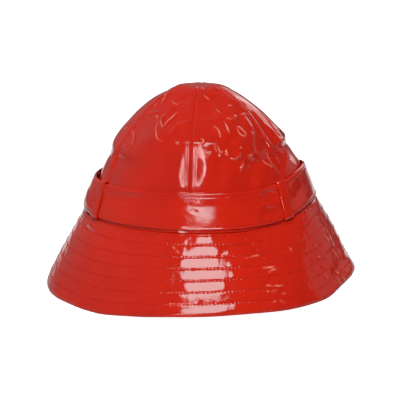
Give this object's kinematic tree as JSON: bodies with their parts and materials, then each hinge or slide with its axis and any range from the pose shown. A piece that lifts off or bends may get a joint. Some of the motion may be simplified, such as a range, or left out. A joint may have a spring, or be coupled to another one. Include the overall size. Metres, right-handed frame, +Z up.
{
  "type": "rain hat",
  "caption": "Soft domed rain hat in glossy red coated cloth, with a wide band held by belt loops and a downturned brim sewn in close rows.",
  "frame": {"origin": "on the surface that the rim lies on, under the middle of the hat's box", "axes": "+Z up through the crown, -Y towards the front of the hat, +X towards the wearer's left"},
  "size_m": [0.2664, 0.2824, 0.1714],
  "materials": {
    "coated_cloth": "high gloss red coating on soft cloth",
    "thread": "red sewing thread"
  },
  "bodies": {
    "root": {"crown_panel_front_left": "coated_cloth", "crown_panel_side_left": "coated_cloth", "crown_panel_back_left": "coated_cloth", "crown_panel_back_right": "coated_cloth", "crown_panel_side_right": "coated_cloth", "crown_panel_front_right": "coated_cloth", "brim": "coated_cloth", "band": "coated_cloth", "loop_front_left": "coated_cloth", "loop_back_left": "coated_cloth", "loop_back_right": "coated_cloth", "loop_front_right": "coated_cloth"}
  },
  "joints": []
}
